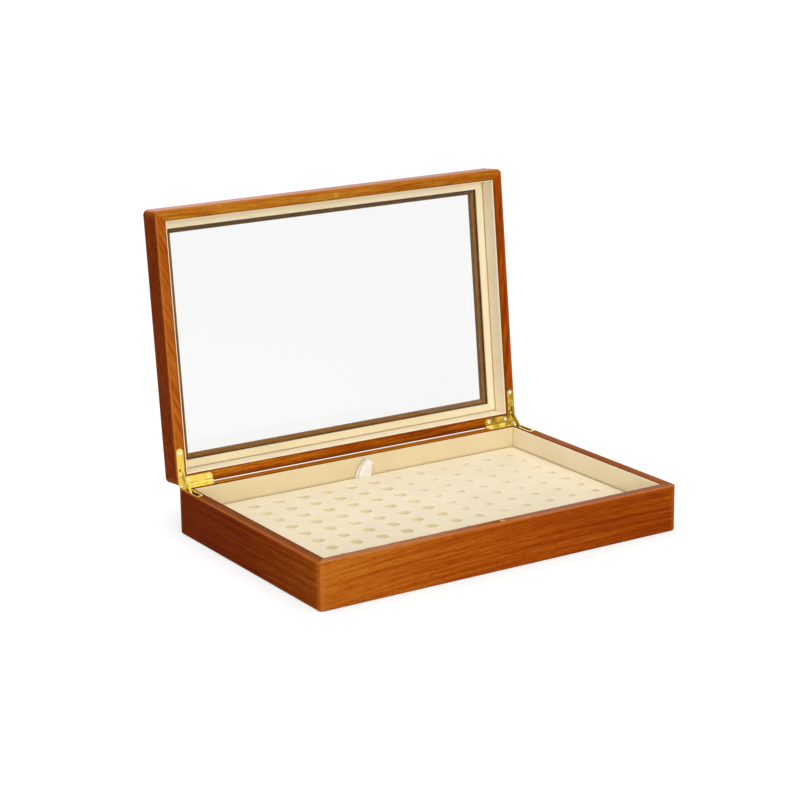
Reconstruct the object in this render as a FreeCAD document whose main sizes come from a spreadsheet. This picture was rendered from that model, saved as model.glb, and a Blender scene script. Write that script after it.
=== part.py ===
import FreeCAD, Part
import math
import os

import Sketcher
from FreeCAD import Placement, Rotation, Vector

# A shallow wooden jewellery box with a glazed lid on two corner stop hinges.
# The origin is the middle of the underside, +X is to the right, +Y is towards the hinges, +Z is up.
# The lid is modelled shut about the hinge axis and placed open, as far as its stays let it go.

# Driving sizes in millimetres and degrees
SIZES = {
    # Case
    "box_width": 350,
    "box_depth": 234.6,
    "base_height": 40.4,
    "lid_height": 25.2,
    "wall": 9.2,
    "corner_radius": 4.5,
    "rim_round": 1,
    "foot_round": 2,
    "rim_gap": 0.4,
    "open_angle": 95.6,
    # Bottom and linings
    "bottom_thickness": 4,
    "bottom_rebate": 4.5,
    "floor_lining": 1,
    "lining": 1.2,
    "lining_gap": 0.1,
    "lining_drop": 0.6,
    "lining_round": 0.5,
    # Insert
    "insert_drop": 18.5,
    "insert_play": 0.8,
    "insert_round": 1.5,
    "backing_thickness": 3,
    "hole_pitch_across": 24.1,
    "hole_pitch_deep": 21.46,
    "hole_margin": 16,
    "hole_shift": 1,
    "large_hole": 10,
    "small_hole": 7,
    "hole_depth": 8,
    "ribbon_width": 13,
    "ribbon_thickness": 0.8,
    "ribbon_rise": 14.5,
    "ribbon_tail": 12,
    "ribbon_lean": 2.5,
    "ribbon_shoulder": 4.5,
    "ribbon_top": 4.5,
    "ribbon_play": 0.2,
    # Window of the lid
    "frame_thickness": 7.2,
    "frame_round": 4.2,
    "window_margin": 22,
    "window_round": 0.5,
    "glass_thickness": 2.2,
    "glass_bevel": 0.3,
    "glass_overlap": 6,
    "glass_play": 0.3,
    "retainer_thickness": 1.6,
    "retainer_margin": 17.8,
    "retainer_groove": 0.6,
    # Catch in the front rims
    "magnet_width": 4.5,
    "magnet_depth": 4,
    "magnet_height": 3,
    "strike_thickness": 1,
    "catch_inset": 1.8,
    # Hinge leaves
    "leaf_thickness": 1.2,
    "leaf_edge": 1.2,
    "leaf_inner_edge": 1.6,
    "leaf_play": 0.15,
    "leaf_round": 2.8,
    "back_leg": 33.5,
    "back_leg_width": 7.8,
    "knuckle_radius": 1.7,
    "knuckle_start": 5.6,
    "knuckle_gap": 0.25,
    "pin_radius": 0.8,
    "pin_play": 0.04,
    "running_gap": 0.3,
    # Stay
    "stay_reach": 10.2,
    "stay_drop": 1.9,
    "stay_slope": 45,
    "stay_depth": 2.6,
    "stay_width": 3,
    "stay_thickness": 1.8,
    "stay_side_gap": 0.3,
    "ear_inset": 2.6,
    "ear_thickness": 0.9,
    "ear_length": 3.6,
    "lance_length": 3.2,
    "rivet_radius": 0.7,
    "rivet_head_radius": 1.2,
    "rivet_head": 0.4,
    "slot_gap": 0.4,
    "slot_end": 2,
    "mortise_depth": 6.5,
    # Screws
    "screw_radius": 0.8,
    "screw_head_radius": 1.75,
    "screw_head_depth": 0.95,
    "screw_length": 9,
    "screw_play": 0.02,
    "screw_slot_width": 0.5,
    "screw_slot_depth": 0.35,
    "screw_end_inset": 4,
    "screw_corner_inset": 11,
}

# Knuckles of each hinge, counted from the side of the box, belong to the lid and the base in turn
KNUCKLES = 4
# Tools that cut right through reach past the material by this much
OVERRUN = 2.0
# Lengths below this count as nothing
TINY = 1e-6
# Axis and angle that point a primitive up or down
UPWARD = (Vector(1, 0, 0), 0)
DOWNWARD = (Vector(1, 0, 0), 180)

doc = FreeCAD.newDocument("JewelleryBox")
sheet = doc.addObject("Spreadsheet::Sheet", "Sizes")
for row, (alias, number) in enumerate(SIZES.items(), start=1):
    sheet.set(f"A{row}", str(number))
    sheet.setAlias(f"A{row}", alias)
doc.recompute()


class Size:
    """A number with the expression that keeps it tied to the cells of the sheet."""

    def __init__(self, number, text):
        self.number = number
        self.text = text

    def __add__(self, other):
        other = as_size(other)
        return Size(self.number + other.number, f"({self.text} + {other.text})")

    def __sub__(self, other):
        other = as_size(other)
        return Size(self.number - other.number, f"({self.text} - {other.text})")

    def __mul__(self, other):
        other = as_size(other)
        return Size(self.number * other.number, f"({self.text} * {other.text})")

    def __truediv__(self, other):
        other = as_size(other)
        return Size(self.number / other.number, f"({self.text} / {other.text})")

    def __neg__(self):
        return Size(-self.number, f"(0 - {self.text})")

    def __radd__(self, other):
        return as_size(other) + self

    def __rsub__(self, other):
        return as_size(other) - self


def as_size(value):
    return value if isinstance(value, Size) else Size(value, repr(value))


def cell(alias):
    return Size(getattr(sheet, alias), f"Sizes.{alias}")


def sine(angle):
    return Size(math.sin(math.radians(angle.number)), f"sin({angle.text})")


def cosine(angle):
    return Size(math.cos(math.radians(angle.number)), f"cos({angle.text})")


def bind(thing, places):
    for place, size in places.items():
        thing.setExpression(place, as_size(size).text)


# Sketches and features


def new_body(name):
    body = doc.addObject("PartDesign::Body", name)
    body.Label = name
    return body


def origin_item(body, role):
    return next(item for item in body.Origin.OriginFeatures if item.Role == role)


def new_sketch(body, name, role="XY_Plane", level=0):
    sketch = body.newObject("Sketcher::SketchObject", name)
    sketch.AttachmentSupport = (origin_item(body, role), [""])
    sketch.MapMode = "FlatFace"
    bind(sketch, {"AttachmentOffset.Base.z": level})
    return sketch


def tie_point(sketch, item, end, point):
    """Ties a point of the sketch to the sketch's origin."""
    for kind, size, axis in (("DistanceX", point[0], -2), ("DistanceY", point[1], -1)):
        size = as_size(size)
        if abs(size.number) < TINY:
            sketch.addConstraint(Sketcher.Constraint("PointOnObject", item, end, axis))
            continue
        if size.number > 0:
            constraint = Sketcher.Constraint(kind, -1, 1, item, end, size.number)
        else:
            size = -size
            constraint = Sketcher.Constraint(kind, item, end, -1, 1, size.number)
        index = sketch.addConstraint(constraint)
        bind(sketch, {f"Constraints[{index}]": size})


def add_outline(sketch, corners):
    """Adds a closed outline of straight sides."""
    points = [Vector(as_size(x).number, as_size(y).number, 0) for x, y in corners]
    first = sketch.GeometryCount
    count = len(points)
    for index, point in enumerate(points):
        sketch.addGeometry(Part.LineSegment(point, points[(index + 1) % count]))
    for index in range(count):
        following = first + (index + 1) % count
        sketch.addConstraint(Sketcher.Constraint("Coincident", first + index, 2, following, 1))
    for index, corner in enumerate(corners):
        tie_point(sketch, first + index, 1, corner)


def add_circle(sketch, centre, radius):
    radius = as_size(radius)
    middle = Vector(as_size(centre[0]).number, as_size(centre[1]).number, 0)
    item = sketch.addGeometry(Part.Circle(middle, Vector(0, 0, 1), radius.number))
    index = sketch.addConstraint(Sketcher.Constraint("Radius", item, radius.number))
    bind(sketch, {f"Constraints[{index}]": radius})
    tie_point(sketch, item, 3, centre)


def rectangle(left, right, front, back):
    return [(left, front), (right, front), (right, back), (left, back)]


def pad(body, sketch, length):
    feature = body.newObject("PartDesign::Pad", f"{sketch.Name}_pad")
    feature.Profile = sketch
    bind(feature, {"Length": length})
    return feature


def pocket(body, sketch, depth, upward=False):
    """Cuts the sketch's outline from the body, down from the sketch or up from it."""
    doc.recompute()
    before = body.Shape.Volume
    feature = body.newObject("PartDesign::Pocket", f"{sketch.Name}_pocket")
    feature.Profile = sketch
    feature.Reversed = upward
    bind(feature, {"Length": depth})
    doc.recompute()
    if before - body.Shape.Volume < TINY:
        raise RuntimeError(f"{feature.Name} cuts nothing")
    return feature


def dress(body, kind, name, wanted, size):
    """Rounds or bevels the edges of the body whose middle point the test picks."""
    doc.recompute()
    base = body.Tip
    names = []
    for index, edge in enumerate(base.Shape.Edges, start=1):
        first, last = edge.ParameterRange
        if wanted(edge, edge.valueAt((first + last) / 2)):
            names.append(f"Edge{index}")
    if not names:
        raise RuntimeError(f"{name} finds no edges")
    feature = body.newObject(f"PartDesign::{kind}", name)
    feature.Base = (base, names)
    bind(feature, {"Radius" if kind == "Fillet" else "Size": size})
    return feature


def is_upright(edge):
    tangent = edge.tangentAt(edge.ParameterRange[0])
    return abs(abs(tangent.z) - 1) < TINY


def near(value, size):
    return abs(value - as_size(size).number) < TINY * 100


def turned(body, kind, name, sizes, place, axis=Vector(0, 1, 0), angle=90):
    """Adds or cuts a primitive, turned from its own +Z by an angle about an axis."""
    feature = body.newObject(f"PartDesign::{kind}", name)
    feature.Placement = Placement(Vector(), Rotation(axis, angle))
    bind(feature, sizes)
    bind(feature, {f"Placement.Base.{letter}": size for letter, size in zip("xyz", place)})
    return feature


# Derived sizes, in the frame of the base

half_width = cell("box_width") / 2
half_depth = cell("box_depth") / 2
rim = cell("base_height")
wall = cell("wall")
inner_half_width = half_width - wall
inner_half_depth = half_depth - wall
axis_height = rim + cell("rim_gap") / 2
floor_top = cell("bottom_thickness") + cell("floor_lining")
lining_face = wall + cell("lining_gap") + cell("lining")
insert_half_width = half_width - lining_face - cell("insert_play")
insert_half_depth = half_depth - lining_face - cell("insert_play")
backing_top = floor_top + cell("backing_thickness")
insert_top = rim - cell("insert_drop")
ribbon_face = insert_half_depth - cell("ribbon_thickness")

# Derived sizes of the lid, in its own frame: the hinge axis is the X axis and the shut lid lies towards -Y

lid_rim = cell("rim_gap") / 2
lid_top = lid_rim + cell("lid_height")
frame_bottom = lid_top - cell("frame_thickness")
lid_middle = -half_depth
rebate_half_width = half_width - cell("window_margin") + cell("glass_overlap")
rebate_half_depth = half_depth - cell("window_margin") + cell("glass_overlap")
rebate_depth = cell("glass_thickness") + cell("glass_play")

# Derived sizes of a hinge: distance in from the side of the box, and distance forward from the axis

leaf_side = cell("leaf_edge")
leaf_inside = wall - cell("leaf_inner_edge")
stay_outside = cell("ear_inset") + cell("ear_thickness") + cell("stay_side_gap")
stay_inside = stay_outside + cell("stay_thickness")
slot_outside = cell("ear_inset") - cell("rivet_head") - cell("stay_side_gap")
slot_inside = stay_inside + cell("rivet_head") + cell("stay_side_gap") * 2
pin_low = lid_rim - cell("stay_drop")
rivet_hole = cell("rivet_radius") + cell("pin_play")
open_cosine = cosine(cell("open_angle"))
open_sine = sine(cell("open_angle"))
stay_pin_forward = cell("stay_reach") * open_cosine - pin_low * open_sine
stay_pin_height = cell("stay_reach") * open_sine + pin_low * open_cosine
stay_foot_low = lid_rim + cell("stay_depth")
stay_length = (stay_pin_height + stay_foot_low) / sine(cell("stay_slope"))
slot_back = cell("stay_reach") - cell("stay_width") / 2 - cell("slot_gap")
slot_front = cell("stay_reach") + stay_length + cell("stay_width") / 2 + cell("slot_gap")
side_leg = slot_front + cell("slot_end")
knuckle_pitch = (cell("back_leg") - cell("knuckle_start") + cell("knuckle_gap")) / KNUCKLES
knuckle_length = knuckle_pitch - cell("knuckle_gap")
leaf_middle = (leaf_side + leaf_inside) / 2
back_leg_middle = (cell("knuckle_radius") + cell("back_leg_width")) / 2
end_screw = (cell("back_leg") - cell("screw_end_inset"), back_leg_middle)
corner_screw = (cell("screw_corner_inset"), back_leg_middle)
side_screw = (leaf_middle, side_leg - cell("screw_end_inset"))
LEAF_SCREWS = {"base": [end_screw, corner_screw], "lid": [end_screw, corner_screw, side_screw]}

subparts = []


def keep(thing, label):
    thing.Label = label
    subparts.append(thing)
    return thing


def open_lid(thing):
    """Places a piece of the lid at the hinge axis, turned open."""
    thing.Placement = Placement(Vector(), Rotation(Vector(1, 0, 0), -1))
    bind(thing, {
        "Placement.Base.y": half_depth,
        "Placement.Base.z": axis_height,
        "Placement.Rotation.Angle": -cell("open_angle"),
    })
    return thing


# Frames of four mitred pieces


def frame_ring(name, margin_out, margin_in, bottom, height, middle):
    """A rectangular ring between two margins from the outside of the box."""
    body = new_body(name)
    sketch = new_sketch(body, f"{name}_plan", level=bottom)
    for margin in (as_size(margin_out), as_size(margin_in)):
        across = half_width - margin
        deep = half_depth - margin
        add_outline(sketch, rectangle(-across, across, middle - deep, middle + deep))
    pad(body, sketch, height)
    return body


def round_corners(body):
    """Rounds the four upright outer corners."""
    def is_corner(edge, point):
        return is_upright(edge) and near(abs(point.x), half_width)
    dress(body, "Fillet", f"{body.Name}_corners", is_corner, cell("corner_radius"))
    doc.recompute()


def round_outer_loop(body, level, size, name):
    """Rounds the outer edges that lie at one level."""
    reach_x = (half_width - cell("corner_radius")).number
    reach_y = (half_depth - cell("corner_radius")).number

    def is_outer(edge, point):
        middle = body.Tip.Shape.BoundBox.Center
        outside = abs(point.x - middle.x) > reach_x or abs(point.y - middle.y) > reach_y
        return near(point.z, level) and outside and not is_upright(edge)
    dress(body, "Fillet", name, is_outer, size)


def round_inner_loop(body, level, margin, size, name):
    """Rounds the edges of a ring's opening that lie at one level."""
    reach_x = (half_width - margin).number + TINY
    reach_y = (half_depth - margin).number + TINY

    def is_inner(edge, point):
        middle = body.Tip.Shape.BoundBox.Center
        inside = abs(point.x - middle.x) < reach_x and abs(point.y - middle.y) < reach_y
        return near(point.z, level) and inside
    dress(body, "Fillet", name, is_inner, size)


def cut_mitres(ring, names, bottom, height, middle, place=None):
    """Cuts a ring at its corners into its front, right, back and left pieces."""
    reach = min(half_width.number, half_depth.number) / 2
    for turn, name in enumerate(names):
        across, deep = (half_width, half_depth) if turn % 2 == 0 else (half_depth, half_width)
        wedge = doc.addObject("Part::Wedge", f"{name}_mitre")
        bind(wedge, {
            "Ymin": -deep - OVERRUN,
            "Ymax": -deep + reach,
            "Xmin": -across - OVERRUN,
            "Xmax": across + OVERRUN,
            "X2min": -across + reach,
            "X2max": across - reach,
            "Zmin": bottom - OVERRUN,
            "Z2min": bottom - OVERRUN,
            "Zmax": bottom + height + OVERRUN,
            "Z2max": bottom + height + OVERRUN,
        })
        wedge.Placement = Placement(Vector(), Rotation(Vector(0, 0, 1), 90 * turn))
        bind(wedge, {"Placement.Base.y": middle})
        piece = keep(doc.addObject("Part::Common", name), name)
        piece.Base = ring
        piece.Tool = wedge
        if place:
            place(piece)


def side_names(pattern):
    return [pattern.format(side) for side in ("front", "right", "back", "left")]


def leaf_outline(sign, axis_at, side_length, play):
    """The L of a hinge leaf in the rim, seen from above, at the left (-1) or right (1) corner."""
    def at(inward, forward):
        return ((half_width - inward) * sign, axis_at - forward)
    tip = as_size(play)
    return [
        at(leaf_side - tip, as_size(0)),
        at(leaf_side - tip, side_length + tip),
        at(leaf_inside + tip, side_length + tip),
        at(leaf_inside + tip, cell("back_leg_width") + tip),
        at(cell("back_leg") + tip, cell("back_leg_width") + tip),
        at(cell("back_leg") + tip, as_size(0)),
    ]


def let_in_hinges(body, part, level, axis_at, axis_level, upward):
    """Cuts the seats of both hinge leaves, their knuckles and screws into a rim."""
    seat = new_sketch(body, f"{part}_leaf_seat", level=level)
    for sign in (-1, 1):
        add_outline(seat, leaf_outline(sign, axis_at, side_leg, cell("leaf_play")))
    pocket(body, seat, cell("leaf_thickness"), upward)
    pilots = new_sketch(body, f"{part}_screw_pilots", level=level)
    for sign in (-1, 1):
        for inward, forward in LEAF_SCREWS[part]:
            centre = ((half_width - inward) * sign, axis_at - forward)
            add_circle(pilots, centre, cell("screw_radius") + cell("screw_play"))
    pocket(body, pilots, cell("screw_length") + OVERRUN / 2, upward)
    reach = cell("knuckle_radius") + cell("running_gap")
    for sign in (-1, 1):
        inner = cell("back_leg") + cell("leaf_play")
        outer = cell("knuckle_start") - cell("knuckle_gap")
        start = half_width * -1 + outer if sign < 0 else half_width - inner
        turned(body, "SubtractiveCylinder", f"{part}_knuckle_relief_{'left' if sign < 0 else 'right'}",
               {"Radius": reach, "Height": inner - outer}, (start, axis_at, axis_level))


# Base


def base_boards():
    ring = frame_ring("base_ring", 0, wall, 0, rim, 0)
    round_corners(ring)
    round_outer_loop(ring, rim, cell("rim_round"), "base_rim_round")
    round_outer_loop(ring, 0, cell("foot_round"), "base_foot_round")
    rebate = new_sketch(ring, "bottom_rebate_plan")
    across = inner_half_width + cell("bottom_rebate")
    deep = inner_half_depth + cell("bottom_rebate")
    add_outline(rebate, rectangle(-across, across, -deep, deep))
    pocket(ring, rebate, cell("bottom_thickness"), upward=True)
    let_in_hinges(ring, "base", rim, half_depth, axis_height, upward=False)
    mortise = new_sketch(ring, "stay_mortise", level=rim)
    for sign in (-1, 1):
        sides = [(half_width - slot_outside) * sign, (half_width - slot_inside) * sign]
        add_outline(mortise, rectangle(*sides, half_depth - slot_front, half_depth - slot_back))
    pocket(ring, mortise, cell("mortise_depth"))
    catch = new_sketch(ring, "magnet_seat", level=rim)
    add_outline(catch, catch_outline(-inner_half_depth, cell("leaf_play")))
    pocket(ring, catch, cell("magnet_height"))
    cut_mitres(ring, side_names("base_{}_board"), as_size(0), rim, as_size(0))


def catch_outline(front_face, play):
    """The catch in plan, set back from the inner face of the front wall."""
    across = cell("magnet_width") / 2 + play
    back = front_face - cell("catch_inset") + play
    return rectangle(-across, across, back - cell("magnet_depth") - as_size(play) * 2, back)


def catch_piece(name, front_face, bottom, height):
    body = keep(new_body(name), name)
    sketch = new_sketch(body, f"{name}_plan", level=bottom)
    add_outline(sketch, catch_outline(front_face, 0))
    pad(body, sketch, height)
    return body


def flat_sheet(name, reach, bottom, thickness):
    """A flat board that fills the inside of the boards and reaches into them."""
    board = keep(doc.addObject("Part::Box", name), name)
    across = inner_half_width + reach
    deep = inner_half_depth + reach
    bind(board, {
        "Length": across * 2,
        "Width": deep * 2,
        "Height": thickness,
        "Placement.Base.x": -across,
        "Placement.Base.y": -deep,
        "Placement.Base.z": bottom,
    })


def lining_card(name, turn, bottom, top, rounded_level, middle):
    """A wrapped card on the inside of one wall, rounded along its edge at the rim."""
    long_side = turn % 2 == 0
    gap = cell("lining_gap")
    across, deep = inner_half_width, inner_half_depth
    half_length = across - gap
    if not long_side:
        across, deep = deep, across
        half_length = across - cell("lining") - gap * 2
    body = keep(new_body(name), name)
    sketch = new_sketch(body, f"{name}_plan", level=bottom)
    face = -deep + gap
    sides = {
        0: (-half_length, half_length, middle + face, middle + face + cell("lining")),
        1: (-face - cell("lining"), -face, middle - half_length, middle + half_length),
        2: (-half_length, half_length, middle - face - cell("lining"), middle - face),
        3: (face, face + cell("lining"), middle - half_length, middle + half_length),
    }
    add_outline(sketch, rectangle(*sides[turn]))
    pad(body, sketch, top - bottom)

    def is_rim_edge(edge, point):
        return near(point.z, rounded_level) and edge.Length > cell("lining").number * 2
    dress(body, "Fillet", f"{name}_round", is_rim_edge, cell("lining_round"))
    return body


def base_linings():
    top = rim - cell("lining_drop")
    for turn, name in enumerate(side_names("base_{}_lining")):
        lining_card(name, turn, floor_top, top, top, as_size(0))


# Insert


def insert_outline():
    return rectangle(-insert_half_width, insert_half_width, -insert_half_depth, insert_half_depth)


def holes_in_row(half_length, pitch):
    """The number of holes that fit between the margins of the pad."""
    return int((half_length - cell("hole_margin")).number * 2 / pitch.number) + 1


def insert_pad():
    body = keep(new_body("insert_pad"), "insert_pad")
    plan = new_sketch(body, "insert_plan", level=backing_top)
    add_outline(plan, insert_outline())
    pad(body, plan, insert_top - backing_top)

    def is_top_edge(edge, point):
        return near(point.z, insert_top)
    dress(body, "Fillet", "insert_top_round", is_top_edge, cell("insert_round"))
    notch = new_sketch(body, "ribbon_notch", level=insert_top)
    across = cell("ribbon_width") / 2 + cell("ribbon_play")
    reach = ribbon_face - cell("ribbon_play")
    add_outline(notch, rectangle(-across, across, reach, insert_half_depth + OVERRUN))
    pocket(body, notch, insert_top - backing_top)
    pitch_across = cell("hole_pitch_across")
    pitch_deep = cell("hole_pitch_deep")
    columns = holes_in_row(insert_half_width, pitch_across)
    rows = holes_in_row(insert_half_depth, pitch_deep)
    left = pitch_across * (columns - 1) / -2 + cell("hole_shift")
    front = pitch_deep * (rows - 1) / -2
    large_columns = (columns + 1) // 2
    sets = {"large_hole": (0, large_columns), "small_hole": (large_columns, columns - large_columns)}
    for name, (first_column, count) in sets.items():
        sketch = new_sketch(body, f"{name}_plan", level=insert_top)
        add_circle(sketch, (left + pitch_across * first_column, front), cell(name) / 2)
        drilled = pocket(body, sketch, cell("hole_depth"))
        grid = body.newObject("PartDesign::LinearPattern", f"{name}_grid")
        grid.Originals = [drilled]
        grid.Direction = (origin_item(body, "X_Axis"), [""])
        grid.Direction2 = (origin_item(body, "Y_Axis"), [""])
        grid.Occurrences = count
        grid.Occurrences2 = rows
        bind(grid, {"Length": pitch_across * (count - 1), "Length2": pitch_deep * (rows - 1)})
        body.Tip = grid
        doc.recompute()


def insert_backing():
    body = keep(new_body("insert_backing_board"), "insert_backing_board")
    plan = new_sketch(body, "backing_plan", level=floor_top)
    add_outline(plan, insert_outline())
    pad(body, plan, cell("backing_thickness"))
    seat = new_sketch(body, "ribbon_seat", level=backing_top)
    across = cell("ribbon_width") / 2 + cell("ribbon_play")
    tail_end = ribbon_face - cell("ribbon_tail") - cell("ribbon_play")
    add_outline(seat, rectangle(-across, across, tail_end, insert_half_depth + OVERRUN))
    pocket(body, seat, cell("ribbon_thickness"))


def ribbon_pull():
    """A ribbon with a glued tail under the pad, a riser up its back edge and a free end folded over."""
    body = keep(new_body("ribbon_pull"), "ribbon_pull")
    thick = cell("ribbon_thickness")
    half = cell("ribbon_width") / 2
    profile = new_sketch(body, "ribbon_profile", "YZ_Plane", level=-half)
    add_outline(profile, [
        (ribbon_face - cell("ribbon_tail"), backing_top - thick),
        (insert_half_depth, backing_top - thick),
        (insert_half_depth, insert_top),
        (ribbon_face, insert_top),
        (ribbon_face, backing_top),
        (ribbon_face - cell("ribbon_tail"), backing_top),
    ])
    pad(body, profile, cell("ribbon_width"))
    fold = new_sketch(body, "ribbon_fold", "XZ_Plane", level=-insert_half_depth)
    tip = insert_top + cell("ribbon_rise")
    lean = half + cell("ribbon_lean")
    add_outline(fold, [
        (-half, insert_top),
        (half, insert_top),
        (lean, tip - cell("ribbon_shoulder")),
        (lean - cell("ribbon_top"), tip),
        (lean - cell("ribbon_top") * 2, tip - cell("ribbon_lean") / 2),
    ])
    pad(body, fold, thick)


# Lid


def lid_walls():
    ring = frame_ring("lid_wall_ring", 0, wall, lid_rim, frame_bottom - lid_rim, lid_middle)
    round_corners(ring)
    round_outer_loop(ring, lid_rim, cell("rim_round"), "lid_rim_round")
    let_in_hinges(ring, "lid", lid_rim, as_size(0), as_size(0), upward=True)
    strike = new_sketch(ring, "strike_seat", level=lid_rim)
    add_outline(strike, catch_outline(lid_middle - inner_half_depth, cell("leaf_play")))
    pocket(ring, strike, cell("strike_thickness"), upward=True)
    cut_mitres(ring, side_names("lid_{}_wall"), lid_rim, frame_bottom - lid_rim, lid_middle, open_lid)


def lid_rails():
    margin = cell("window_margin")
    thick = cell("frame_thickness")
    ring = frame_ring("lid_rail_ring", 0, margin, frame_bottom, thick, lid_middle)
    round_corners(ring)
    round_outer_loop(ring, lid_top, cell("frame_round"), "lid_top_round")
    round_inner_loop(ring, lid_top, margin, cell("window_round"), "window_edge_round")
    rebate = new_sketch(ring, "glass_rebate", level=frame_bottom)
    across = rebate_half_width
    deep = rebate_half_depth
    add_outline(rebate, rectangle(-across, across, lid_middle - deep, lid_middle + deep))
    pocket(ring, rebate, rebate_depth, upward=True)
    cut_mitres(ring, side_names("lid_{}_rail"), frame_bottom, thick, lid_middle, open_lid)


def lid_glass():
    body = keep(new_body("lid_glass"), "lid_glass")
    plan = new_sketch(body, "glass_plan", level=frame_bottom)
    across = rebate_half_width - cell("glass_play")
    deep = rebate_half_depth - cell("glass_play")
    add_outline(plan, rectangle(-across, across, lid_middle - deep, lid_middle + deep))
    pad(body, plan, cell("glass_thickness"))
    dress(body, "Chamfer", "glass_ground_edge", lambda edge, point: True, cell("glass_bevel"))
    open_lid(body)


def glass_retainers():
    thick = cell("retainer_thickness")
    margin = cell("retainer_margin")
    bottom = frame_bottom - thick
    ring = frame_ring("retainer_ring", wall + cell("lining_gap"), margin, bottom, thick, lid_middle)
    round_inner_loop(ring, bottom, margin, cell("lining_round"), "retainer_round")
    cut_mitres(ring, side_names("glass_{}_retainer"), bottom, thick, lid_middle, open_lid)


def lid_linings():
    bottom = lid_rim + cell("lining_drop")
    top = frame_bottom - cell("retainer_thickness") - cell("retainer_groove")
    for turn, name in enumerate(side_names("lid_{}_lining")):
        open_lid(lining_card(name, turn, bottom, top, bottom, lid_middle))


# Corner stop hinges. Each piece is made for the left corner and mirrored for the right one.


def both_sides(left, name):
    keep(left, f"left_{name}")
    right = keep(doc.addObject("Part::Mirroring", f"right_{name}"), f"right_{name}")
    right.Source = left
    right.Normal = Vector(1, 0, 0)
    return left


def at_axis(thing):
    bind(thing, {"Placement.Base.y": half_depth, "Placement.Base.z": axis_height})
    return thing


def hinge_leaf(part, place, bottom, face_up):
    """An L-shaped leaf with every other knuckle of the barrel and countersunk screw holes."""
    name = f"hinge_{part}_leaf"
    body = new_body(f"left_{name}")
    plan = new_sketch(body, f"{name}_plan", level=bottom)
    add_outline(plan, leaf_outline(-1, as_size(0), side_leg, 0))
    pad(body, plan, cell("leaf_thickness"))
    inner_end = -half_width + cell("back_leg")

    def is_leg_end(edge, point):
        front = near(point.y, -side_leg)
        inner = near(point.x, inner_end) and near(point.y, -cell("back_leg_width"))
        return is_upright(edge) and (front or inner)
    dress(body, "Fillet", f"{name}_ends", is_leg_end, cell("leaf_round"))
    own = [index for index in range(KNUCKLES) if (index % 2 == 0) == (part == "lid")]
    start = -half_width + cell("knuckle_start")
    room = cell("knuckle_radius") + cell("running_gap")
    for index in range(KNUCKLES):
        if index not in own:
            turned(body, "SubtractiveCylinder", f"{name}_gap_{index}",
                   {"Radius": room, "Height": knuckle_length + cell("knuckle_gap") * 2},
                   (start + knuckle_pitch * index - cell("knuckle_gap"), 0, 0))
    for index in own:
        turned(body, "AdditiveCylinder", f"{name}_knuckle_{index}",
               {"Radius": cell("knuckle_radius"), "Height": knuckle_length},
               (start + knuckle_pitch * index, 0, 0))
    turned(body, "SubtractiveCylinder", f"{name}_pin_hole",
           {"Radius": cell("pin_radius") + cell("pin_play"), "Height": cell("back_leg")},
           (start - OVERRUN, 0, 0))
    hole = cell("screw_radius") + cell("screw_play")
    for index, (across, forward) in enumerate(LEAF_SCREWS[part]):
        spot = (-half_width + across, -forward)
        turned(body, "SubtractiveCylinder", f"{name}_screw_hole_{index}",
               {"Radius": hole, "Height": cell("leaf_thickness") + OVERRUN * 2},
               (*spot, bottom - OVERRUN), *UPWARD)
        depth = cell("screw_head_depth")
        sink = {"Radius1": hole, "Radius2": cell("screw_head_radius") + cell("screw_play"), "Height": depth}
        level = bottom + cell("leaf_thickness") - depth if face_up else bottom + depth
        turned(body, "SubtractiveCone", f"{name}_countersink_{index}", sink, (*spot, level),
               *(UPWARD if face_up else DOWNWARD))
    return place(body)


def base_leaves():
    """The base leaves have a slot along the side leg, where the foot of the stay runs."""
    face = -lid_rim
    left = hinge_leaf("base", at_axis, face - cell("leaf_thickness"), face_up=True)
    slot = new_sketch(left, "stay_slot", level=face)
    sides = (-half_width + slot_outside, -half_width + slot_inside)
    add_outline(slot, rectangle(*sides, -slot_front, -slot_back))
    pocket(left, slot, cell("leaf_thickness"))
    both_sides(left, "hinge_base_leaf")


def lid_leaves():
    """The lid leaves have an ear, lanced from the side leg, that carries the stay."""
    left = hinge_leaf("lid", open_lid, lid_rim, face_up=False)
    ear_side = -half_width + cell("ear_inset")
    half_ear = cell("ear_length") / 2
    back = -(cell("stay_reach") + half_ear)
    turned(left, "AdditiveBox", "stay_ear",
           {"Length": cell("ear_thickness"), "Width": cell("ear_length"),
            "Height": cell("stay_drop") + cell("leaf_thickness")},
           (ear_side, back, pin_low), *UPWARD)
    turned(left, "AdditiveCylinder", "stay_ear_end",
           {"Radius": half_ear, "Height": cell("ear_thickness")},
           (ear_side, -cell("stay_reach"), pin_low))
    turned(left, "SubtractiveCylinder", "stay_ear_hole",
           {"Radius": rivet_hole, "Height": cell("ear_thickness") + OVERRUN * 2},
           (ear_side - OVERRUN, -cell("stay_reach"), pin_low))
    lance = new_sketch(left, "ear_lance", level=lid_rim + cell("leaf_thickness"))
    sides = (ear_side, ear_side + cell("ear_thickness") * 2)
    add_outline(lance, rectangle(*sides, back - cell("lance_length"), back - cell("stay_side_gap")))
    pocket(left, lance, cell("leaf_thickness"))
    both_sides(left, "hinge_lid_leaf")


def hinge_pins():
    left = doc.addObject("Part::Cylinder", "left_hinge_pin")
    left.Placement = Placement(Vector(), Rotation(Vector(0, 1, 0), 90))
    bind(left, {
        "Radius": cell("pin_radius"),
        "Height": knuckle_pitch * KNUCKLES,
        "Placement.Base.x": -half_width + cell("knuckle_start") - cell("knuckle_gap") / 2,
    })
    both_sides(at_axis(left), "hinge_pin")


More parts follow.
